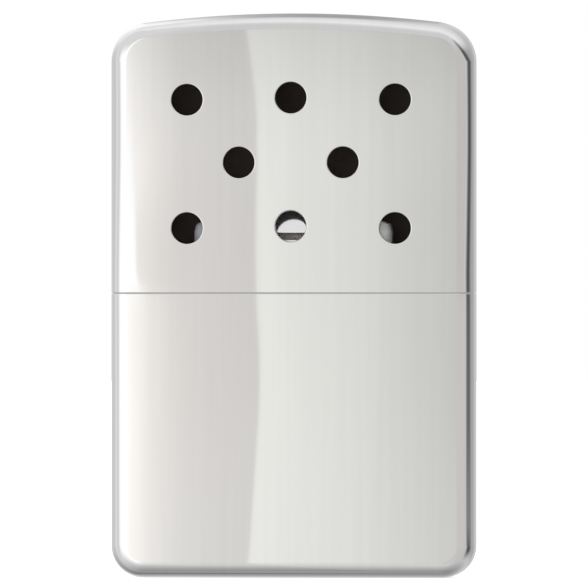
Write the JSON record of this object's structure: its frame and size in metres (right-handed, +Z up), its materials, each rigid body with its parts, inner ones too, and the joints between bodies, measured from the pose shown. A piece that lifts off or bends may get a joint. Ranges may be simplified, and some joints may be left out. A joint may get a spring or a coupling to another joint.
{
  "type": "catalytic hand warmer",
  "caption": "Pocket catalytic hand warmer: a flask-shaped chrome case whose vented lid slides off a cotton-filled fuel tank, with a lift-off catalytic burner on the filler neck.",
  "frame": {"origin": "middle of the tank's foot, on the surface it stands on", "axes": "+Z up from the foot to the domed lid, the vented front faces -Y, +X to the right seen from the front"},
  "size_m": [0.066, 0.013, 0.1022],
  "materials": {
    "case_chrome": "polished chrome plate",
    "collar_nickel": "bright nickel plate, lightly brushed",
    "deck_nickel": "satin nickel plate",
    "cotton": "loose cotton batting",
    "burner_chrome": "polished chrome plate",
    "tray_steel": "plain rolled steel",
    "gauze_wire": "woven heat-tinted wire",
    "catalyst_fibre": "matted glass fibre, platinum grey"
  },
  "bodies": {
    "tank": {"tank_shell": "case_chrome", "lid_collar": "collar_nickel", "tank_deck": "deck_nickel", "filler_neck": "deck_nickel", "fuel_cotton_bottom": "cotton", "fuel_cotton_middle": "cotton", "fuel_cotton_top": "cotton", "neck_cotton": "cotton"},
    "lid": {"lid_shell": "case_chrome"},
    "burner": {"burner_skirt": "burner_chrome", "catalyst_tray": "tray_steel", "burner_cover": "burner_chrome", "window_gauze": "gauze_wire", "catalyst_mat": "catalyst_fibre"}
  },
  "joints": [
    {"name": "lid_slide", "type": "slide", "parent": "tank", "child": "lid", "axis": [0, 0, 1], "range_m": [0, 0.04]},
    {"name": "burner_slide", "type": "slide", "parent": "tank", "child": "burner", "axis": [0, 0, 1], "range_m": [0, 0.012]}
  ]
}
